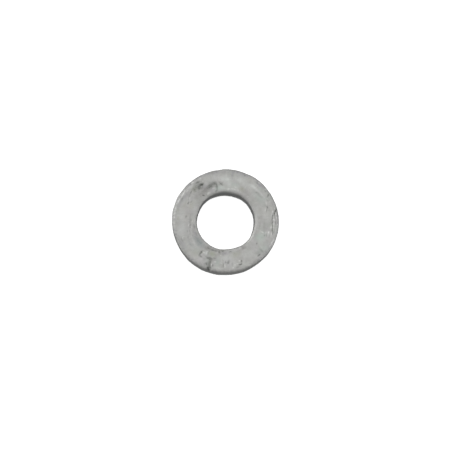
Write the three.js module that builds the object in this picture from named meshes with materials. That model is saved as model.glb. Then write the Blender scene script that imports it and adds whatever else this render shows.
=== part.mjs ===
// Plain flat washer for an M12 bolt: one ring punched from 2.5 mm steel plate, then hot-dip galvanised.
// Millimetres, +Z up along the hole. The origin is the centre of the lower bearing face.

import * as THREE from 'three';

// Finished sizes, measured over the zinc coat.
const OUTER_DIAMETER = 24;
const HOLE_DIAMETER = 13;
const THICKNESS = 2.5;

// How much each corner is rounded, as its width along the face and its height up the wall. The tools drag
// the metal down as they cut, so the upper corners roll over in a long flat curve. The lower corners are
// cut sharp, and only the zinc rounds them.
const UPPER_RIM = { width: 0.75, height: 0.35 };
const UPPER_HOLE = { width: 0.8, height: 0.35 };
const LOWER_RIM = { width: 0.25, height: 0.25 };
const LOWER_HOLE = { width: 0.2, height: 0.2 };

// How finely round shapes are divided: flats around the ring, and arc divisions that Path.getPoints()
// doubles, so 2 of them give four flats to a corner.
const FLATS_AROUND = 96;
const CORNER_DIVISIONS = 2;

const QUARTER_TURN = Math.PI / 2;

// Half of the ring's cross-section, in the plane of radius and height, drawn anticlockwise from the lower
// rim corner: up the outer wall, in over the upper face, down the hole wall and out under the lower face.
// Each corner is a quarter of an ellipse, and the next one starts where its arc points.
function ringProfile() {
  const outerRadius = OUTER_DIAMETER / 2;
  const holeRadius = HOLE_DIAMETER / 2;
  const corners = [
    { arc: LOWER_RIM, radius: outerRadius - LOWER_RIM.width, level: LOWER_RIM.height },
    { arc: UPPER_RIM, radius: outerRadius - UPPER_RIM.width, level: THICKNESS - UPPER_RIM.height },
    { arc: UPPER_HOLE, radius: holeRadius + UPPER_HOLE.width, level: THICKNESS - UPPER_HOLE.height },
    { arc: LOWER_HOLE, radius: holeRadius + LOWER_HOLE.width, level: LOWER_HOLE.height },
  ];
  const profile = new THREE.Path();
  corners.forEach(({ arc, radius, level }, index) => {
    const startAngle = (index - 1) * QUARTER_TURN;
    const endAngle = index * QUARTER_TURN;
    profile.absellipse(radius, level, arc.width, arc.height, startAngle, endAngle);
  });
  profile.closePath();
  return profile.getPoints(CORNER_DIVISIONS);
}

// The ring itself. A lathe turns its profile about Y, so the geometry is tipped to bring that axis to +Z.
function makeWasherRing() {
  const geometry = new THREE.LatheGeometry(ringProfile(), FLATS_AROUND);
  geometry.rotateX(QUARTER_TURN);
  const galvanisedSteel = new THREE.MeshStandardMaterial({
    color: 0xa7a8a6,
    roughness: 0.5,
    metalness: 0.9,
  });
  const ring = new THREE.Mesh(geometry, galvanisedSteel);
  ring.name = 'washer_ring';
  return ring;
}

const washer = new THREE.Group();
washer.add(makeWasherRing());

export default washer;
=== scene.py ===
import math

import bpy
from mathutils import Matrix, Vector
from mathutils.kdtree import KDTree


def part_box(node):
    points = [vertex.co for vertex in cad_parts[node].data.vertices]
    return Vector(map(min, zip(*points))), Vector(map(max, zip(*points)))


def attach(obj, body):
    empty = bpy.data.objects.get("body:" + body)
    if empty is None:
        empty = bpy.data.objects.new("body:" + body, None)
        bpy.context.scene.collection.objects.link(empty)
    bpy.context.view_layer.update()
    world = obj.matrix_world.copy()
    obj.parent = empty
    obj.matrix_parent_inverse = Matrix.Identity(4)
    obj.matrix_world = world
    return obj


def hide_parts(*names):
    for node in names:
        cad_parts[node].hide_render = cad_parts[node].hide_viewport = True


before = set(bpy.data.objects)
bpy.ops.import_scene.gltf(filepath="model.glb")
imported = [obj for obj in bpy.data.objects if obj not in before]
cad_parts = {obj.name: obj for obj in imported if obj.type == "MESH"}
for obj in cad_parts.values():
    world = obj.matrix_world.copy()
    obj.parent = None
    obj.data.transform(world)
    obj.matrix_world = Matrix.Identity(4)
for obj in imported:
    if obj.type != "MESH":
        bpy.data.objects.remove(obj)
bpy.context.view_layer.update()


# ---------------------------------------------------------------- The steel ring
# The washer is one ring. A press pierces the hole and blanks the rim out of steel plate in one stroke.
# The tools drag the metal down with them, so both upper edges roll over in a long curve, the lower edges
# stay crisp, and the hole and the rim come out a little off round.

MM = 0.001
HAIR = 0.002 * MM

ring_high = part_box("washer_ring")[1]
RIM_RADIUS = ring_high.x
HOLE_RADIUS = min(corner.co.xy.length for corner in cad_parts["washer_ring"].data.vertices)
THICKNESS = ring_high.z

CORNER = 0.14 * MM
CORNER_SEGMENTS = 4
STEPS_AROUND = 540
FACE_CUTS = 38
WALL_CUTS = 12

# Each roll-over is a wide shallow sag and a narrow steeper one: depth and width. The punch sat a little off
# centre in the die, so it is deeper on one side of each edge: the middle of that side and half its spread in
# degrees, then the edge's radius and the extra depth. The hole's edge flares there too, by the share given.
ROLL_OVERS = ((0.24 * MM, 1.1 * MM), (0.15 * MM, 0.55 * MM))
DEEPER_SIDES = (
    (70, 105, HOLE_RADIUS, 0.11 * MM), (86, 30, HOLE_RADIUS, 0.09 * MM),
    (262, 62, RIM_RADIUS, 0.15 * MM), (262, 40, RIM_RADIUS, 0.1 * MM),
)
DEEPER_WIDTH = 0.9 * MM
FLARED_SIDE = (86, 26, 1.02)
FLARE_WIDTH = 0.8 * MM
UPPER_PART = 0.7 * THICKNESS

# Where the edges bulge away from the axis, or in towards it: degrees, radius, and how far out.
HOLE_OFFSET = Vector((0, -0.13 * MM, 0))
HOLE_OFFSET_REACH = 3 * MM
BULGE_REACH = 2.5 * MM
BULGE_BAND = 0.3 * MM
BULGE_HALF_SPREAD = math.radians(6)
OUT_OF_ROUND = (
    (135, HOLE_RADIUS, 0.12 * MM), (50, HOLE_RADIUS, 0.1 * MM), (315, HOLE_RADIUS, 0.04 * MM),
    (280, HOLE_RADIUS, -0.18 * MM), (210, HOLE_RADIUS, -0.06 * MM), (350, HOLE_RADIUS, -0.08 * MM),
    (112, HOLE_RADIUS, 0.07 * MM), (240, HOLE_RADIUS, -0.05 * MM),
    (235, RIM_RADIUS, 0.1 * MM), (255, RIM_RADIUS, 0.08 * MM), (145, RIM_RADIUS, 0.06 * MM),
    (162, RIM_RADIUS, 0.09 * MM), (82, RIM_RADIUS, 0.09 * MM), (52, RIM_RADIUS, 0.1 * MM),
    (203, RIM_RADIUS, -0.06 * MM), (308, RIM_RADIUS, -0.08 * MM),
)


def toward(degrees):
    """The level direction from the axis at that many degrees round from +X."""
    return Vector((math.cos(math.radians(degrees)), math.sin(math.radians(degrees)), 0))


def pick(mesh, kind, wanted):
    """Goes to edit mode with only those vertices, edges or faces selected whose every corner is wanted."""
    bpy.ops.object.mode_set(mode="EDIT")
    bpy.ops.mesh.select_mode(type=kind)
    bpy.ops.mesh.select_all(action="DESELECT")
    bpy.ops.object.mode_set(mode="OBJECT")
    chosen = [wanted(vertex.co) for vertex in mesh.vertices]
    if kind == "VERT":
        mesh.vertices.foreach_set("select", chosen)
    else:
        for part in mesh.edges if kind == "EDGE" else mesh.polygons:
            part.select = all(chosen[corner] for corner in part.vertices)
    bpy.ops.object.mode_set(mode="EDIT")


def pull(offset, reach, falloff="SMOOTH"):
    """Moves what is selected, and drags the metal around it along, as far as reach."""
    bpy.ops.transform.translate(
        value=offset, use_proportional_edit=True,
        proportional_edit_falloff=falloff, proportional_size=reach)


bpy.ops.object.select_all(action="DESELECT")
bpy.ops.mesh.primitive_circle_add(vertices=STEPS_AROUND, radius=RIM_RADIUS, location=(0, 0, 0))
ring = bpy.context.object
ring.name = "galvanised_ring"
ring_mesh = ring.data

hole_share = HOLE_RADIUS / RIM_RADIUS
bpy.ops.object.mode_set(mode="EDIT")
bpy.ops.mesh.extrude_region_move(TRANSFORM_OT_translate={"value": (0, 0, THICKNESS)})
bpy.ops.mesh.extrude_region_move()
bpy.ops.transform.resize(value=(hole_share, hole_share, 1))
bpy.ops.mesh.extrude_region_move(TRANSFORM_OT_translate={"value": (0, 0, -THICKNESS)})
bpy.ops.mesh.extrude_region_move()
bpy.ops.transform.resize(value=(1 / hole_share, 1 / hole_share, 1))
bpy.ops.mesh.select_all(action="SELECT")
bpy.ops.mesh.remove_doubles(threshold=HAIR)
bpy.ops.mesh.normals_make_consistent(inside=False)

for edge_radius in (RIM_RADIUS, HOLE_RADIUS):
    for edge_height in (0, THICKNESS):
        pick(ring_mesh, "EDGE", lambda place: (
            abs(place.xy.length - edge_radius) < HAIR and abs(place.z - edge_height) < HAIR))
        bpy.ops.mesh.bevel(affect="EDGES", offset=CORNER, segments=CORNER_SEGMENTS, profile=0.5)

for crosses_face, cuts in ((True, FACE_CUTS), (False, WALL_CUTS)):
    bpy.ops.mesh.select_all(action="DESELECT")
    bpy.ops.object.mode_set(mode="OBJECT")
    for edge in ring_mesh.edges:
        start, end = (ring_mesh.vertices[corner].co for corner in edge.vertices)
        is_level = abs(start.z - end.z) < HAIR
        edge.select = (end - start).length > 1 * MM and is_level == crosses_face
    bpy.ops.object.mode_set(mode="EDIT")
    bpy.ops.mesh.subdivide(number_cuts=cuts)

for edge_radius in (RIM_RADIUS, HOLE_RADIUS):
    pick(ring_mesh, "VERT", lambda place: (
        abs(place.xy.length - edge_radius) < HAIR and abs(place.z - THICKNESS + CORNER) < HAIR))
    for depth, width in ROLL_OVERS:
        pull((0, 0, -depth), width, "SHARP")

for degrees, spread, edge_radius, depth in DEEPER_SIDES:
    direction = toward(degrees)
    pick(ring_mesh, "VERT", lambda place: (
        abs(place.xy.length - edge_radius) < HAIR and place.z > UPPER_PART
        and place.xy.angle(direction.xy) < math.radians(spread)))
    pull((0, 0, -depth), DEEPER_WIDTH, "SHARP")

degrees, spread, flare = FLARED_SIDE
direction = toward(degrees)
pick(ring_mesh, "VERT", lambda place: (
    abs(place.xy.length - HOLE_RADIUS) < HAIR and place.z > 0.6 * THICKNESS
    and place.xy.angle(direction.xy) < math.radians(spread)))
bpy.ops.transform.resize(
    value=(flare, flare, 1), center_override=(0, 0, 0),
    use_proportional_edit=True, proportional_edit_falloff="SMOOTH", proportional_size=FLARE_WIDTH)

pick(ring_mesh, "VERT", lambda place: place.xy.length < HOLE_RADIUS + CORNER)
pull(HOLE_OFFSET, HOLE_OFFSET_REACH)

for degrees, edge_radius, outward in OUT_OF_ROUND:
    direction = toward(degrees)
    pick(ring_mesh, "VERT", lambda place: (
        abs(place.xy.length - edge_radius) < BULGE_BAND and place.xy.angle(direction.xy) < BULGE_HALF_SPREAD))
    pull(direction * outward, BULGE_REACH)


# ---------------------------------------------------------------- The zinc coat
# The ring is dipped in molten zinc at 450 degrees and shaken. The coat alloys with the steel and is about
# 0.07 mm thick. It froze in waves, hung on along the hole's lower lip, and was folded, nicked and
# scratched when the washers were tumbled out on each other. This is its shape, and its look comes next.

# Routes of fine marks in the upper face, as (degrees, mm from the axis).
CRACKS = [
    [(251.6, 12), (251, 11.4), (250.4, 10.7), (249.8, 10), (249, 9.7)],
    [(249.6, 10.2), (247.5, 10.65), (245.6, 11)],
]
SEAMS = [
    [(14.2, 11.85), (12.5, 11.6), (10.5, 11.2), (8.5, 11.07), (6, 11)],
    [(8, 10.72), (5, 10.55), (0, 10.46), (-4, 10.5), (-9, 10.63), (-13, 10.8), (-17, 11.05)],
]
SCRATCHES = [
    [(5, 11.03), (1.5, 11.22)],
    [(-0.5, 11.25), (-4, 11.25)],
    [(20, 9.98), (16.5, 9.72), (13, 9.42)],
    [(32.5, 11.5), (31.2, 11.1), (30.4, 10.7)],
    [(156, 9.2), (152, 9.4)],
    [(151, 9.5), (147.5, 9.75), (143, 10), (139, 10.2)],
    [(320.6, 9.95), (320, 10.5), (320.3, 11.2)],
    [(317, 9.45), (314.5, 9.65), (311.5, 10)],
    [(288.3, 10.55), (290, 10.4), (290.8, 9.75)],
    [(335, 10.7), (330.5, 10.85), (327.5, 11.2)],
    [(193, 8.12), (189, 8), (186.5, 7.95)],
    [(104.8, 9), (103.6, 8.3), (104, 7.6), (106.5, 7.15)],
    [(100, 9.1), (97, 8.6), (94, 8.1)],
]
FOLDS = [
    [(10, 11.42), (6, 11.47), (2, 11.42)],
    [(6, 10.8), (1, 10.78), (-5, 10.88), (-12, 11)],
]
PITS = [
    [(124, 9.85)], [(131, 7.65)], [(175, 8.9)], [(323, 8.65)], [(233.5, 9.1)], [(43.4, 9.5)],
    [(313, 10.85)], [(135.8, 9.5)], [(116, 8.6)], [(107, 8.9)], [(273, 9.8)], [(245, 7.4)],
]

# How they are pressed in or raised: half the width of the bottom, reach of the sides, and depth, in mm.
RELIEF = (
    (CRACKS, 0.05, 0.3, 0.04),
    (SEAMS, 0.05, 0.22, 0.07),
    (SCRATCHES, 0.04, 0.22, 0.025),
    (PITS, 0.1, 0.4, 0.04),
    (FOLDS, 0.12, 0.35, -0.04),
)
SPOTS_PER_LEG = 32


def near(routes, reach):
    """A test for points of the upper side that lie within reach of routes of (degrees, mm) points."""
    spots = []
    for route in routes:
        for start, end in zip(route, route[1:] or route):
            for step in range(SPOTS_PER_LEG + 1):
                degrees, radius = Vector(start).lerp(Vector(end), step / SPOTS_PER_LEG)
                turn = math.radians(degrees)
                spots.append((radius * MM * math.cos(turn), radius * MM * math.sin(turn), 0))
    line = KDTree(len(spots))
    for number, spot in enumerate(spots):
        line.insert(spot, number)
    line.balance()
    return lambda place: place.z > UPPER_PART and line.find((place.x, place.y, 0))[2] < reach


# The faces are divided again where the fine marks go, so that those come out sharp.
pick(ring_mesh, "FACE", near(CRACKS + SEAMS + SCRATCHES, 0.3 * MM))
bpy.ops.mesh.subdivide(number_cuts=1)
for routes, core, reach, depth in RELIEF:
    pick(ring_mesh, "VERT", near(routes, core * MM))
    pull((0, 0, -depth * MM), reach * MM)

# The crack runs on down the rim's wall as a notch.
NOTCH_HALF_SPREAD = math.radians(0.6)
NOTCH_DEPTH = 0.05 * MM
notch = toward(251)
pick(ring_mesh, "VERT", lambda place: (
    place.xy.length > RIM_RADIUS - 0.2 * MM and place.xy.angle(notch.xy) < NOTCH_HALF_SPREAD))
pull(notch * -NOTCH_DEPTH, 0.3 * MM)

# Zinc hung along the lower lip of the hole, and draws it in to this share of its width.
LIP_SHARE = 0.985
LIP_REACH = 1.6 * MM
pick(ring_mesh, "VERT", lambda place: (
    place.xy.length < HOLE_RADIUS + 0.25 * MM and 0.1 * MM < place.z < 0.6 * MM))
bpy.ops.transform.resize(
    value=(LIP_SHARE, LIP_SHARE, 1), center_override=HOLE_OFFSET,
    use_proportional_edit=True, proportional_edit_falloff="SMOOTH", proportional_size=LIP_REACH)
bpy.ops.object.mode_set(mode="OBJECT")

# Waves and dimples all over, beads along the edges, and the torn lower half of the sheared walls.
EDGE_WIDTH = 0.9 * MM
LEAST_BEADED = 0.1
TORN_BELOW = 0.55 * THICKNESS
edge_zone = ring.vertex_groups.new(name="edge_zone")
torn_zone = ring.vertex_groups.new(name="torn_zone")
for vertex in ring_mesh.vertices:
    from_edge = min(RIM_RADIUS - vertex.co.xy.length, vertex.co.xy.length - HOLE_RADIUS)
    edge_weight = max(LEAST_BEADED, min(1, 1 - from_edge / EDGE_WIDTH))
    edge_zone.add([vertex.index], edge_weight, "REPLACE")
    is_torn = from_edge < CORNER and vertex.co.z < TORN_BELOW
    torn_zone.add([vertex.index], 1 if is_torn else 0, "REPLACE")

# Name, how wide and how high in mm, and where: all over, or in a zone.
LUMPS = (
    ("frozen_waves", 1.7, 0.07, ""),
    ("frozen_dimples", 0.55, 0.014, ""),
    ("edge_beads", 0.45, 0.06, "edge_zone"),
    ("torn_steel", 0.25, 0.05, "torn_zone"),
)
PATTERN_MIDDLE = 0.6
for name, size, height, zone in LUMPS:
    pattern = bpy.data.textures.new(name, type="CLOUDS")
    pattern.noise_scale = size * MM
    pattern.noise_depth = 1
    lumps = ring.modifiers.new(name, "DISPLACE")
    lumps.texture = pattern
    lumps.texture_coords = "LOCAL"
    lumps.strength = height * MM
    lumps.mid_level = PATTERN_MIDDLE
    lumps.vertex_group = zone
    bpy.ops.object.modifier_apply(modifier=name)

bpy.ops.object.shade_smooth()
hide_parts("washer_ring")
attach(ring, "root")


# ---------------------------------------------------------------- The look of the zinc
# Hot-dip galvanised zinc, left out in the air. Fresh zinc is a bluish mirror, and then a dull carbonate
# skin grows on it. The eye gets a soft mid-grey metal with a broad sheen, mottled pale, greenish and
# plum from crystal to crystal, with sooty flux and dross on its face. Painted shade darkens its grooves,
# the hole's wall and the top of the rim, and painted highlights brighten its rolled edges, its folds and a
# band across its face.

MIDDLE_MM = (RIM_RADIUS + HOLE_RADIUS) / 2 / MM
SEAM_DEGREES = 309


def linear(hex_colour):
    """An sRGB hex colour as the linear red, green, blue and alpha that Blender works in."""
    values = [int(hex_colour[place:place + 2], 16) / 255 for place in (1, 3, 5)]
    return [v / 12.92 if v <= 0.04045 else ((v + 0.055) / 1.055) ** 2.4 for v in values] + [1]


def add(tree, kind, sockets=None, **settings):
    """Adds a node with its settings. Each socket is given a value, or another node or socket to link."""
    node = tree.nodes.new(kind)
    for name, value in settings.items():
        setattr(node, name, value)
    named = {socket.name: socket for socket in node.inputs if socket.enabled}
    for name, value in (sockets or {}).items():
        socket = node.inputs[name] if isinstance(name, int) else named[name]
        if isinstance(value, bpy.types.Node):
            value = next(output for output in value.outputs if output.enabled)
        if isinstance(value, bpy.types.NodeSocket):
            tree.links.new(value, socket)
        else:
            socket.default_value = value
    return node


zinc = bpy.data.materials.new("hot_dip_galvanised_zinc")
zinc.use_nodes = True
coat = zinc.node_tree

place_mm = add(coat, "ShaderNodeMapping", {
    "Vector": add(coat, "ShaderNodeTexCoord").outputs["Object"], "Scale": (1 / MM, 1 / MM, 1 / MM)})

# The same place as mm round the middle of the ring, mm from its axis and mm up. The way round is counted
# from -51 to 309 degrees, so that it jumps where the surface has no mark.
turned = add(coat, "ShaderNodeSeparateXYZ", {"Vector": add(coat, "ShaderNodeMapping", {
    "Vector": place_mm, "Rotation": (0, 0, math.radians(180 - SEAM_DEGREES))})})
turned_angle = add(coat, "ShaderNodeMath", {
    0: turned.outputs["Y"], 1: turned.outputs["X"]}, operation="ARCTAN2")
way_round = add(coat, "ShaderNodeMath", {
    0: turned_angle, 1: MIDDLE_MM, 2: math.radians(SEAM_DEGREES - 180) * MIDDLE_MM},
    operation="MULTIPLY_ADD")
radius = add(coat, "ShaderNodeVectorMath", {0: add(coat, "ShaderNodeCombineXYZ", {
    "X": turned.outputs["X"], "Y": turned.outputs["Y"]})}, operation="LENGTH")
ring_place = add(coat, "ShaderNodeCombineXYZ", {
    "X": way_round, "Y": radius, "Z": turned.outputs["Z"]})
upper_side = add(coat, "ShaderNodeMapRange", {
    "Value": turned.outputs["Z"], "From Min": 1.5, "From Max": 2.0}, interpolation_type="SMOOTHSTEP")

# Marks are ragged: the place they are measured from is shaken by about a tenth of a millimetre.
shake = add(coat, "ShaderNodeVectorMath", {
    0: add(coat, "ShaderNodeTexNoise", {"Vector": place_mm, "Scale": 1.6, "Detail": 2}).outputs["Color"],
    1: (0.5, 0.5, 0.5)}, operation="SUBTRACT")
shaken_place = add(coat, "ShaderNodeVectorMath", {0: shake, 1: (0.45, 0.45, 0), 2: ring_place},
                   operation="MULTIPLY_ADD")
mark_place = add(coat, "ShaderNodeVectorMath", {0: shaken_place, 1: (1, 1, 0)}, operation="MULTIPLY")


def strokes(routes, half_width, strength):
    """Routes as a row of soft ovals, one along each leg: degrees, radius, half sizes, turn, strength."""
    ovals = []
    for route in routes:
        for start, end in zip(route, route[1:]):
            leg = Vector((math.radians(end[0] - start[0]) * MIDDLE_MM, end[1] - start[1]))
            ovals.append((
                (start[0] + end[0]) / 2, (start[1] + end[1]) / 2, leg.length / 2 + half_width, half_width,
                math.degrees(math.atan2(leg.y, leg.x)), strength))
    return ovals


def ovals_mask(ovals):
    """A mask of soft ovals, strongest in the middle of each."""
    total = 0.0
    for degrees, from_axis, along, across, turn, strength in ovals:
        oval = add(coat, "ShaderNodeTexGradient", {"Vector": add(coat, "ShaderNodeMapping", {
            "Vector": mark_place,
            "Location": (math.radians(degrees) * MIDDLE_MM, from_axis, 0),
            "Rotation": (0, 0, math.radians(turn)),
            "Scale": (along, across, 1),
        }, vector_type="TEXTURE")}, gradient_type="SPHERICAL")
        total = add(coat, "ShaderNodeMath", {0: oval.outputs["Fac"], 1: strength, 2: total},
                    operation="MULTIPLY_ADD")
    return add(coat, "ShaderNodeMath", {0: total, 1: upper_side}, operation="MULTIPLY")


# The plain coat: clouds a few millimetres wide, crystals about 2 mm across, streaks and dull specks.
clouds = add(coat, "ShaderNodeTexNoise", {"Vector": place_mm, "Scale": 0.38, "Detail": 3})
cloud_tone = add(coat, "ShaderNodeMapRange", {"Value": clouds, "From Min": 0.35, "From Max": 0.65})
colour = add(coat, "ShaderNodeMix", {
    "Factor": cloud_tone, "A": linear("#a9a8a5"), "B": linear("#b6b6b3")}, data_type="RGBA")
crystals = add(coat, "ShaderNodeSeparateColor", {"Color": add(coat, "ShaderNodeTexVoronoi", {
    "Vector": place_mm, "Scale": 0.55}).outputs["Color"]})
for channel, crystal_tint, strength in (("Red", "#a8aea8", 0.35), ("Green", "#b2afb3", 0.3)):
    share = add(coat, "ShaderNodeMath", {0: crystals.outputs[channel], 1: strength}, operation="MULTIPLY")
    colour = add(coat, "ShaderNodeMix", {
        "Factor": share, "A": colour, "B": linear(crystal_tint)}, data_type="RGBA")
for size, squash, low, high, tone, strength in (
    (0.5, 0.22, 0.55, 0.8, "#c4c5c3", 0.4),
    (0.8, 1.0, 0.58, 0.8, "#969893", 0.45),
    (0.25, 1.0, 0.5, 0.75, "#9d9e9b", 0.35),
):
    stretched = add(coat, "ShaderNodeMapping", {"Vector": ring_place, "Scale": (1, squash, squash)})
    specks = add(coat, "ShaderNodeTexNoise", {"Vector": stretched, "Scale": 1 / size, "Detail": 2})
    share = add(coat, "ShaderNodeMapRange", {
        "Value": specks, "From Min": low, "From Max": high, "To Max": strength})
    colour = add(coat, "ShaderNodeMix", {"Factor": share, "A": colour, "B": linear(tone)}, data_type="RGBA")

# The marks on the upper face, each an oval: degrees, mm from the axis, half its length and half its width in
# mm, how far it is turned in degrees, and strength. First the tints from crystal to crystal, with a painted
# highlight band across the face among the pale ones and painted shade along the top of the rim among the
# plum ones, then the dirt with painted shade along the grooves, and last the bright spots where the coat was
# rubbed, with painted highlights on the rolled edges and folds.
# The pale ovals from 37 to 95 degrees and 9.5 to 10.2 mm out are a painted highlight, the sheen along the
# crown of the face; the rest are pale crystals.
PALE_TINTS_AND_SHEEN = [
    (88, 9.5, 1.5, 1.3, 0, 0.7), (75, 9.9, 1.4, 1.0, 0, 0.5), (79, 8.2, 2.2, 1.1, 0, 0.6),
    (64, 9.8, 1.9, 0.8, 0, 0.4), (50, 10.1, 2.0, 0.5, -4, 0.8), (37, 10.15, 1.4, 0.3, -4, 0.7),
    (95, 9.9, 1.1, 0.9, 0, 0.4), (97, 7.8, 1.3, 0.7, 0, 0.6), (240, 8.6, 0.8, 0.6, 0, 0.6),
    (263.5, 9.8, 0.3, 0.5, 0, 0.5), (215, 8.6, 2.0, 0.35, 8, 0.5), (86, 7.3, 1.9, 0.4, 0, 0.7),
    (190, 9.7, 2.6, 1.4, 0, 0.4), (-25, 8.7, 1.8, 1.2, 0, 0.2), (-30, 10.2, 1.8, 1.8, 0, 0.2),
    (300, 9, 1.8, 1.4, 0, 0.4), (272, 8.6, 2.0, 0.7, 0, 0.5), (-9, 11.6, 1.2, 0.3, 0, 0.4),
    (262, 11, 1.4, 0.3, 0, 0.4), (208, 11.8, 1.4, 0.3, 0, 0.4), (-17, 9.9, 0.8, 0.9, 0, 0.4),
]
GREENISH = [
    (-25, 8.8, 1.9, 1.3, 0, 1.0), (-27, 7.9, 1.3, 0.7, 0, 0.6), (-36, 10.6, 1.6, 1.5, 0, 0.5),
    (259.5, 9.7, 0.7, 1.5, 0, 0.7), (226, 9.6, 1.8, 1.2, 0, 0.4), (77, 8.6, 1.8, 0.9, 0, 0.5),
    (35, 9.2, 2.4, 1.1, 0, 0.65), (43, 10.7, 0.6, 0.7, 0, 0.6), (29.5, 10.3, 0.4, 0.9, 0, 0.6),
    (88, 9.6, 1.3, 1.2, 0, 0.3), (102, 7.6, 1.6, 0.9, 0, 0.9), (248.5, 8.3, 1.3, 0.8, 0, 0.5),
    (246, 10.1, 1.0, 1.2, 0, 0.4), (-44, 10.3, 1.3, 0.9, 0, 0.4),
]
OLIVE = [
    (63, 8.1, 1.3, 0.8, 0, 1.0), (134.5, 10, 1.2, 0.9, 0, 0.8), (156, 8.4, 1.5, 1.0, 0, 0.7),
    (159, 9.8, 1.6, 0.7, 0, 0.5), (228, 10, 1.2, 1.4, 0, 0.5), (286, 8, 1.9, 1.0, 0, 0.9),
    (248.5, 8.2, 1.4, 0.85, 0, 1.3), (177.5, 10.6, 0.6, 0.45, 0, 0.9), (167.5, 10.95, 0.5, 0.4, 0, 0.8),
    (77, 8, 1.4, 0.7, 0, 0.3), (59, 11, 0.9, 0.6, 0, 0.5), (182, 7.4, 1.4, 0.6, 0, 0.5),
]
# The long plum ovals along the top of the rim, from 47 to 100 degrees and over 11 mm out, are painted shade
# on its roll-over; the rest are plum crystals.
PLUM_AND_RIM_SHADE = [
    (81.7, 10.7, 0.35, 1.2, 0, 1.0), (147, 10.6, 1.8, 0.7, 0, 0.8), (160, 10.95, 1.4, 0.5, 0, 0.7),
    (121, 8.9, 1.0, 1.0, 0, 1.1), (203, 7.5, 2.0, 0.6, 0, 1.1), (191, 7.2, 0.9, 0.35, 0, 1.2),
    (47, 11.35, 1.1, 0.5, 0, 1.3), (269, 7.5, 1.8, 0.6, 0, 1.2), (74, 11.4, 2.2, 0.5, 0, 0.8),
    (100, 11.3, 2.8, 0.5, 0, 0.7), (114, 7.7, 1.4, 0.9, 0, 0.9), (209, 11, 1.8, 0.7, 0, 0.8),
    (20.5, 11.3, 0.9, 0.4, 0, 0.6), (-10, 9.2, 1.6, 1.0, 0, 0.3),
]
SMOKE = [
    (129, 8.3, 2.8, 1.4, 0, 1.3), (121, 8.4, 0.9, 0.9, 0, 1.0), (143, 8.6, 2.2, 1.2, 0, 0.25),
    (147, 7.5, 1.4, 0.6, 0, 0.4),
    (236, 7.5, 1.9, 0.8, 0, 1.1), (259, 7.6, 0.6, 0.9, 0, 1.0), (51, 7.9, 2.6, 0.9, 0, 0.6),
    (180, 8, 2.0, 0.3, 0, 0.9), (193, 7.6, 1.8, 0.6, 0, 0.7), (249, 7.2, 2.2, 0.35, 0, 0.8),
    (303, 7.4, 1.2, 0.55, 0, 1.2), (197, 8.4, 0.9, 0.3, 0, 0.8),
    (-5, 8.7, 1.6, 0.35, 0, 0.5), (-7, 7.7, 1.9, 0.22, 0, 0.6), (-45, 10.3, 1.2, 0.6, 40, 0.5),
    (312, 11.3, 1.4, 0.5, 0, 0.5), (120.5, 10.1, 0.6, 0.8, 0, 1.0),
    (255.5, 8.6, 0.6, 0.8, 0, 0.7), (240.5, 7.5, 1.4, 0.7, 0, 0.7), (110, 8.4, 1.2, 0.6, 0, 0.6),
    (10, 8.1, 2.6, 0.6, 0, 0.4), (292, 7.5, 0.9, 0.35, 0, 0.5), (257, 11.8, 1.8, 0.35, 0, 0.6),
    (171, 7.8, 1.6, 0.9, 0, 0.3), (250, 9.3, 1.8, 0.5, 0, 0.6), (250.5, 10.5, 0.5, 1.2, 0, 0.6),
]
SLATE = [
    (315.5, 10.6, 1.0, 0.8, 0, 0.9), (320, 10.6, 0.4, 0.9, 0, 0.7),
    (220, 7.75, 2.6, 1.1, 0, 1.4), (215, 9.5, 1.5, 0.4, -4, 0.6), (-29, 7.4, 1.2, 0.6, 0, 0.4),
]
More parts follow.
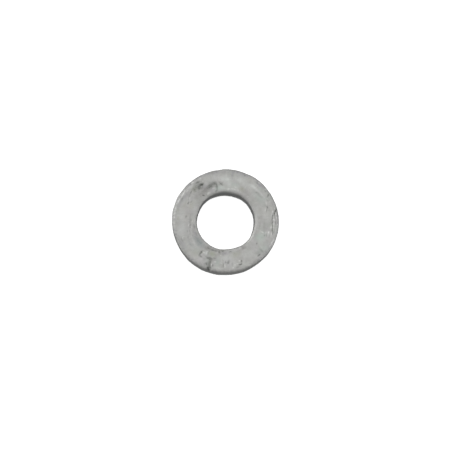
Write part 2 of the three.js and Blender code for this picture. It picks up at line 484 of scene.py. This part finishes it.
# The ovals are soot and dross; the strokes along the cracks, seams and scratches at the end of this list are
# painted shade in those grooves.
SOOT_AND_GROOVE_SHADE = [
    (122.9, 9.85, 0.6, 0.45, 0, 1.2), (126.5, 9.8, 1.0, 1.0, 0, 0.65), (126, 10.8, 0.8, 0.35, 15, 0.8),
    (127.5, 10.1, 0.9, 0.5, 0, 0.25),
    (133.5, 10, 1.1, 0.8, 20, 0.2), (105, 7.9, 0.4, 0.8, 0, 0.3), (97, 8.6, 0.8, 0.35, -25, 0.3),
    (129, 9.4, 0.6, 0.5, 0, 0.4), (134, 10.1, 0.9, 0.5, 30, 0.45), (136, 9.6, 0.5, 0.4, 0, 0.4),
    (114.5, 8.6, 1.1, 0.7, -10, 0.65), (111.5, 9, 1.0, 0.8, 0, 0.5), (107, 8.95, 0.8, 0.7, 0, 0.5),
    (107, 7.1, 0.6, 0.35, 0, 0.5),
    (104.5, 8.6, 0.5, 1.0, 0, 0.4), (131, 7.65, 0.45, 0.25, 20, 0.9), (139.6, 10.2, 0.35, 0.22, 0, 0.4),
    (154.5, 9.25, 0.6, 0.22, 15, 0.5), (151, 8.85, 0.6, 0.22, 10, 0.35), (134, 11.4, 0.3, 0.3, 0, 0.5),
    (130.5, 10.5, 0.4, 0.4, 0, 0.4),
    (175, 8.9, 0.5, 0.22, 0, 0.5), (153.5, 11, 0.8, 0.35, 0, 0.5), (196.5, 8.9, 0.5, 0.2, 0, 0.35),
    (206, 7.2, 0.9, 0.25, 0, 0.35), (191, 7.2, 1.0, 0.3, 0, 0.4), (205.5, 8.15, 0.4, 0.2, 0, 0.3),
    (233.5, 9.1, 0.4, 0.65, 0, 0.8), (235.8, 9.95, 0.6, 0.3, 0, 0.6), (233.5, 9.7, 0.3, 0.5, 0, 0.6),
    (246.3, 9.4, 1.1, 0.4, -12, 0.75), (250.2, 9.6, 0.5, 0.5, 0, 0.25), (253.8, 8.95, 0.5, 0.3, 0, 0.5),
    (246.8, 10.8, 0.6, 0.4, 30, 0.3), (254.4, 10.65, 0.24, 0.45, 0, 0.8), (250.8, 11.5, 0.6, 0.7, 0, 0.9),
    (246.5, 7.35, 0.7, 0.3, 0, 0.7), (252.5, 7.35, 0.7, 0.3, 0, 0.6), (239, 7.4, 0.5, 0.25, 0, 0.5),
    (258.5, 7.25, 0.4, 0.5, 0, 0.8), (264, 6.95, 0.8, 0.3, 0, 0.7), (242.5, 8.4, 0.3, 0.8, 0, 0.4),
    (278.5, 7.2, 0.6, 0.22, 0, 0.7), (302, 7.35, 0.4, 0.4, 0, 0.3), (312.5, 7.15, 0.4, 0.15, 0, 0.4),
    (43.4, 9.5, 0.35, 0.25, 0, 0.35), (26.5, 10.5, 0.5, 0.22, 0, 0.4), (12.2, 11.55, 0.5, 0.3, 30, 0.3),
    (9.5, 11.15, 0.6, 0.3, 20, 0.4), (37.5, 11.35, 0.3, 0.3, 0, 0.5), (31.5, 11.3, 0.3, 0.4, 0, 0.4),
    (67.5, 11.4, 0.3, 0.3, -20, 0.5), (51, 11.3, 0.5, 0.3, 0, 0.3), (38, 9.6, 1.4, 0.3, 0, 0.2),
    (18.5, 9.85, 0.5, 0.2, -20, 0.4), (-19.5, 10.3, 0.5, 0.18, 0, 0.4), (-20, 9.75, 0.5, 0.2, 0, 0.5),
    (-21, 9.35, 0.4, 0.2, -15, 0.4), (-37, 8.65, 0.4, 0.22, 0, 0.6), (-47, 10.8, 0.5, 0.25, 0, 0.8),
    (-40.5, 10.5, 0.35, 0.9, 0, 0.35), (287.8, 10.55, 0.6, 0.25, 5, 0.9), (284, 10.95, 0.6, 0.25, 0, 0.4),
    (290.6, 9.8, 0.35, 0.3, 0, 0.5), (273, 9.7, 0.3, 0.4, 0, 0.7), (274.2, 9.3, 0.25, 0.4, 0, 0.5),
    (270, 9.5, 0.2, 0.5, 0, 0.5), (267.2, 10.2, 0.22, 0.7, 0, 0.5), (278.3, 10.1, 0.2, 0.7, 0, 0.35),
    (5, 7.6, 0.5, 0.2, 0, 0.2), (205, 10.65, 0.7, 0.15, 8, 0.4), (205, 9.2, 0.6, 0.15, 12, 0.35),
] + strokes(CRACKS, 0.42, 0.36) + strokes(SEAMS, 0.2, 0.7) + strokes(SCRATCHES, 0.2, 0.45)
# The spots along the rim from 130 to 184 degrees and along the hole's edge from about 300 to 20 degrees, and
# the first strokes along the folds and the lips of the seams, are painted highlights where the rolled edges
# and folds catch the light; the rest is rubbed zinc.
RUBBED_AND_HIGHLIGHTS = [
    (88, 9.6, 0.6, 0.5, 0, 0.3), (85, 7.35, 0.6, 0.2, 0, 0.5), (76, 7.5, 1.0, 0.2, 0, 0.4),
    (68.5, 7.6, 0.4, 0.25, 30, 0.3), (48.5, 7.4, 0.4, 0.15, -30, 0.4), (49, 11.6, 0.5, 0.2, 0, 0.5),
    (38.6, 11.6, 0.3, 0.25, 0, 0.7), (19, 11.5, 0.6, 0.2, 0, 0.5), (14.5, 11.55, 0.25, 0.2, 0, 0.6),
    (-4.5, 11.65, 0.4, 0.14, 0, 0.8), (-11, 11.45, 1.0, 0.2, 0, 0.5), (-15.5, 10, 0.35, 0.22, 0, 0.75),
    (-16.7, 9.35, 0.4, 0.12, 0, 0.6),
    (-18, 8.6, 0.2, 0.6, 12, 0.6), (-21.5, 11.5, 0.3, 0.2, 0, 0.8), (-25, 11.52, 0.6, 0.2, 0, 0.9),
    (-30, 11.4, 0.3, 0.2, 0, 0.4), (148, 9.6, 0.5, 0.25, -25, 0.4), (142, 10.9, 0.4, 0.2, 0, 0.7),
    (150, 11.3, 2.0, 0.35, 0, 0.4),
    (110, 7.9, 0.5, 0.3, 0, 0.4), (121.5, 7.3, 0.7, 0.3, 0, 0.5), (121, 11.3, 0.4, 0.25, 0, 0.5),
    (119.5, 10.4, 0.3, 0.35, 0, 0.4),
    (130.5, 11.5, 0.4, 0.25, 0, 1.0), (147, 11.4, 0.9, 0.25, 0, 0.7), (156, 11.5, 0.5, 0.2, 0, 0.9),
    (159.5, 11.55, 0.5, 0.2, 0, 0.9), (166, 11.55, 0.6, 0.2, 0, 0.7), (171.5, 11.55, 0.6, 0.2, 0, 0.8),
    (176, 11.5, 0.4, 0.2, 0, 0.8), (184, 11.5, 1.6, 0.25, 0, 0.4), (137, 11.2, 0.9, 0.3, 0, 0.4),
    (187.5, 8.35, 0.4, 0.18, 0, 0.6), (192, 7.8, 0.6, 0.12, 0, 0.35), (181, 7.45, 0.5, 0.15, 0, 0.5),
    (180, 6.85, 0.8, 0.15, 0, 0.4), (236.5, 8.8, 0.35, 0.2, 0, 0.65), (240.3, 8.5, 0.3, 0.6, 0, 0.2),
    (241.5, 9.6, 0.5, 0.25, 0, 0.4), (252.6, 10.55, 0.16, 0.3, 0, 0.75),
    (254.1, 11.9, 0.1, 0.5, 0, 0.6), (256.3, 9.75, 0.35, 0.25, 0, 0.7),
    (269.2, 10.4, 0.16, 0.6, 0, 0.6), (278.8, 10.85, 0.25, 0.35, 0, 0.5), (281.8, 10.3, 0.3, 0.2, 0, 0.3),
    (285.3, 10.15, 0.4, 0.2, 0, 0.35), (288.3, 9.65, 0.25, 0.22, 0, 0.8), (297, 11.3, 0.7, 0.15, 15, 0.5),
    (310.3, 9.35, 0.4, 0.25, 20, 0.4), (297, 6.95, 0.4, 0.2, 0, 0.6), (-35, 6.95, 3.0, 0.25, 0, 0.6),
    (0, 7, 3.5, 0.2, 0, 0.3), (262, 8.1, 0.4, 0.15, 0, 0.4), (73.5, 8.05, 0.8, 0.15, 0, 0.3),
] + strokes([
    [(9.5, 11.4), (6, 11.46), (2, 11.42)], [(4, 10.86), (-1, 10.84), (-6, 10.88), (-12, 11.05)],
    [(13, 10.88), (10, 10.6)], [(9.5, 10.42), (5.5, 10.3)], [(-4, 10.28), (-11, 10.34)],
    [(-14, 10.65), (-18, 10.9)],
], 0.16, 0.75) + strokes([
    [(18, 9.4), (13, 9.1)], [(27, 10.1), (21, 9.95)], [(204, 10.45), (200.8, 10.1)],
    [(317, 10.75), (313.5, 11.2)], [(316.5, 10.2), (313.5, 10.45)], [(137, 10.7), (131, 11.2)],
], 0.15, 0.4)

PATCHES = (
    ("#cfd2cf", PALE_TINTS_AND_SHEEN, 0.75), ("#a8b4ac", GREENISH, 0.75), ("#9c9d8e", OLIVE, 0.65),
    ("#979599", PLUM_AND_RIM_SHADE, 0.7), ("#8f8e8b", SMOKE, 0.8), ("#8f9594", SLATE, 0.85),
    ("#50544e", SOOT_AND_GROOVE_SHADE, 0.85), ("#e6e7e4", RUBBED_AND_HIGHLIGHTS, 0.85),
)
broken = add(coat, "ShaderNodeMapRange", {
    "Value": add(coat, "ShaderNodeTexNoise", {"Vector": place_mm, "Scale": 2.9, "Detail": 3}),
    "From Min": 0.3, "From Max": 0.6, "To Min": 0.55, "To Max": 1})
for patch_colour, ovals, strength in PATCHES:
    ragged = add(coat, "ShaderNodeMath", {0: ovals_mask(ovals), 1: broken}, operation="MULTIPLY")
    mask = add(coat, "ShaderNodeMapRange", {"Value": ragged, "To Max": strength})
    # The soot mask also carries the painted shade in the grooves.
    if ovals is SOOT_AND_GROOVE_SHADE:
        soot_and_groove_shade = mask
    colour = add(coat, "ShaderNodeMix", {
        "Factor": mask, "A": colour, "B": linear(patch_colour)}, data_type="RGBA")

# The rim is speckled with dross. The sheared walls are duller and streaked up and down, painted darker in
# the hole as painted shade, and paler where their lower half tore away.
rim = add(coat, "ShaderNodeMapRange", {"Value": radius, "From Min": 10.9, "From Max": 11.6})
dross = add(coat, "ShaderNodeMapRange", {
    "Value": add(coat, "ShaderNodeTexNoise", {"Vector": place_mm, "Scale": 2.4, "Detail": 3}),
    "From Min": 0.48, "From Max": 0.66, "To Max": 0.4})
rim_dross = add(coat, "ShaderNodeMath", {0: rim, 1: dross}, operation="MULTIPLY")
colour = add(coat, "ShaderNodeMix", {
    "Factor": rim_dross, "A": colour, "B": linear("#85838a")}, data_type="RGBA")
wall_streaks = add(coat, "ShaderNodeTexNoise", {"Vector": add(coat, "ShaderNodeMapping", {
    "Vector": ring_place, "Scale": (3.5, 3.5, 0.5)}), "Scale": 1.0, "Detail": 2})
wall_tone = add(coat, "ShaderNodeMix", {
    "Factor": wall_streaks, "A": linear("#86888a"), "B": linear("#a0a29f")}, data_type="RGBA")
# Painted shade: the wall inside the hole is darkened.
painted_hole_shade = add(coat, "ShaderNodeMapRange", {
    "Value": radius, "From Min": 8.5, "From Max": 8.0, "To Max": 0.7})
wall_tone = add(coat, "ShaderNodeMix", {
    "Factor": painted_hole_shade, "A": wall_tone, "B": linear("#6c6e70")}, data_type="RGBA")
torn = add(coat, "ShaderNodeMapRange", {
    "Value": turned.outputs["Z"], "From Min": 1.2, "From Max": 0.2, "To Max": 0.6})
wall_tone = add(coat, "ShaderNodeMix", {
    "Factor": torn, "A": wall_tone, "B": linear("#bdbebc")}, data_type="RGBA")
on_wall = add(coat, "ShaderNodeMapRange", {
    "Value": turned.outputs["Z"], "From Min": 2.25, "From Max": 1.8, "To Max": 0.7},
    interpolation_type="SMOOTHSTEP")
colour = add(coat, "ShaderNodeMix", {"Factor": on_wall, "A": colour, "B": wall_tone}, data_type="RGBA")

gloss_clouds = add(coat, "ShaderNodeMapRange", {
    "Value": add(coat, "ShaderNodeTexNoise", {"Vector": place_mm, "Scale": 1.1, "Detail": 3}),
    "From Min": 0.3, "From Max": 0.7, "To Min": 0.48, "To Max": 0.6})
# Soot, and the painted groove shade with it, makes the coat rougher.
roughness = add(coat, "ShaderNodeMath", {0: soot_and_groove_shade, 1: 0.2, 2: gloss_clouds}, operation="MULTIPLY_ADD")

# Orange-peel waves 0.4 mm across and a frosted grain of 0.06 mm, which is only seen close to.
peel = add(coat, "ShaderNodeBump", {
    "Height": add(coat, "ShaderNodeTexNoise", {"Vector": place_mm, "Scale": 2.5, "Detail": 2}),
    "Strength": 0.6, "Distance": 0.02 * MM})
frost = add(coat, "ShaderNodeBump", {
    "Height": add(coat, "ShaderNodeTexNoise", {"Vector": place_mm, "Scale": 16, "Detail": 2}),
    "Strength": 0.35, "Distance": 0.004 * MM, "Normal": peel})

zinc_shader = coat.nodes["Principled BSDF"]
zinc_shader.inputs["Metallic"].default_value = 1.0
for name, node in (("Base Color", colour), ("Roughness", roughness), ("Normal", frost)):
    coat.links.new(next(output for output in node.outputs if output.enabled), zinc_shader.inputs[name])
ring_mesh.materials.append(zinc)


# ---------------------------------------------------------------- The studio
# A white acrylic table under a broad soft ceiling, with a softbox overhead, two low ones on the left and
# one on the right. The table glows only for the camera, so the washer's walls stay as dark as they are
# over a deep table.

FLOOR_RADIUS = 1.5
bpy.ops.object.select_all(action="DESELECT")
bpy.ops.mesh.primitive_circle_add(vertices=64, radius=FLOOR_RADIUS, fill_type="NGON", location=(0, 0, 0))
floor = bpy.context.object
floor.name = "white_table"
acrylic = bpy.data.materials.new("opal_white_acrylic")
acrylic.use_nodes = True
acrylic_shader = acrylic.node_tree.nodes["Principled BSDF"]
acrylic_shader.inputs["Base Color"].default_value = linear("#f2f2f2")
acrylic_shader.inputs["Roughness"].default_value = 0.9
acrylic_shader.inputs["Emission Color"].default_value = linear("#ffffff")
acrylic_shader.inputs["Emission Strength"].default_value = 0.6
floor.data.materials.append(acrylic)
floor.visible_glossy = False
floor.visible_diffuse = False

# How bright the surroundings are, from below, through the horizon, to above. They are brighter behind.
CEILING = ((0.0, 0.42), (0.45, 0.25), (0.72, 0.5), (1.0, 1.12))
BRIGHT_SIDE = Vector((0.12, 0.32, 0.94)).normalized()
world = bpy.data.worlds.new("soft_ceiling")
bpy.context.scene.world = world
world.use_nodes = True
sky = world.node_tree
upward = add(sky, "ShaderNodeVectorMath", {
    0: add(sky, "ShaderNodeTexCoord").outputs["Generated"], 1: BRIGHT_SIDE}, operation="DOT_PRODUCT")
ceiling = add(sky, "ShaderNodeValToRGB", {"Fac": add(sky, "ShaderNodeMapRange", {
    "Value": upward, "From Min": -1.0, "From Max": 1.0})})
for number, (height, brightness) in enumerate(CEILING):
    steps = ceiling.color_ramp.elements
    step = steps[number] if number < 2 else steps.new(height)
    step.position = height
    step.color = (brightness, brightness, brightness, 1)
glow = sky.nodes["Background"]
sky.links.new(ceiling.outputs["Color"], glow.inputs["Color"])
white = add(sky, "ShaderNodeBackground", {"Color": (1, 1, 1, 1), "Strength": 1.0})
shown = add(sky, "ShaderNodeMixShader", {
    0: add(sky, "ShaderNodeLightPath").outputs["Is Camera Ray"], 1: glow, 2: white})
sky.links.new(shown.outputs[0], sky.nodes["World Output"].inputs["Surface"])

# Name, place, width in metres and watts.
SOFTBOXES = (
    ("overhead_softbox", (0.05, 0.1, 0.6), 0.6, 0.12),
    ("back_left_softbox", (-0.52, 0.3, 0.3), 0.35, 0.9),
    ("front_left_softbox", (-0.57, -0.2, 0.25), 0.3, 0.45),
    ("right_softbox", (0.57, -0.18, 0.25), 0.3, 0.5),
)
for name, place, size, power in SOFTBOXES:
    lamp = bpy.data.lights.new(name, "AREA")
    lamp.shape = "SQUARE"
    lamp.size = size
    lamp.energy = power
    softbox = bpy.data.objects.new(name, lamp)
    bpy.context.scene.collection.objects.link(softbox)
    softbox.location = place
    softbox.rotation_euler = (-softbox.location).to_track_quat("-Z", "Y").to_euler()


# ---------------------------------------------------------------- The camera
# It looks down on the washer from the front, a little off the vertical, through an 85 mm lens.

FOCAL_LENGTH_MM = 85.4
TILT = math.radians(13.3)
AZIMUTH = math.radians(-7.9)
DISTANCE = 10 * 2 * RIM_RADIUS
AIM = Vector((-0.11 * MM, -0.745 * MM, THICKNESS / 2))

back = Vector((math.sin(AZIMUTH) * math.sin(TILT), -math.cos(AZIMUTH) * math.sin(TILT), math.cos(TILT)))
across = Vector((0, 1, 0)).cross(back).normalized()
lens = bpy.data.cameras.new("camera")
lens.sensor_width = 36
lens.lens = FOCAL_LENGTH_MM
lens.clip_start = 0.01
lens.clip_end = 10
camera = bpy.data.objects.new("camera", lens)
bpy.context.scene.collection.objects.link(camera)
camera.location = AIM + back * DISTANCE
camera.rotation_euler = Matrix((across, back.cross(across), back)).transposed().to_euler()
bpy.context.scene.camera = camera
bpy.context.scene.view_settings.view_transform = "Standard"
